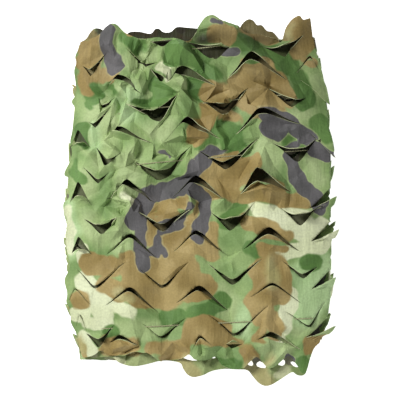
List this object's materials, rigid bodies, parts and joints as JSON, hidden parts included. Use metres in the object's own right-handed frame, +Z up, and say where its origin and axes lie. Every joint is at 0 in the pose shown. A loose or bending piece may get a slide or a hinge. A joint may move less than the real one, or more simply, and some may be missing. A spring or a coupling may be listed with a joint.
{
  "type": "camouflage net",
  "caption": "Camouflage net of leaf-cut woodland cloth on fine cords, folded back and forth into a flat pack with curled tongues along its sides.",
  "frame": {"origin": "on the surface it lies on, under the middle of the folded pack", "axes": "+Y along the pack, away from the end with the hanging flaps, +Z up out of the top layer, +X to the side with the last fold"},
  "size_m": [0.3128, 0.4286, 0.0477],
  "materials": {
    "camouflage_cloth": "satin",
    "net_cord": "matte"
  },
  "bodies": {
    "root": {"net_cloth": "camouflage_cloth", "net_cord_1": "net_cord", "net_cord_2": "net_cord", "net_cord_3": "net_cord", "net_cord_4": "net_cord", "net_cord_5": "net_cord", "net_cord_6": "net_cord"}
  },
  "joints": []
}
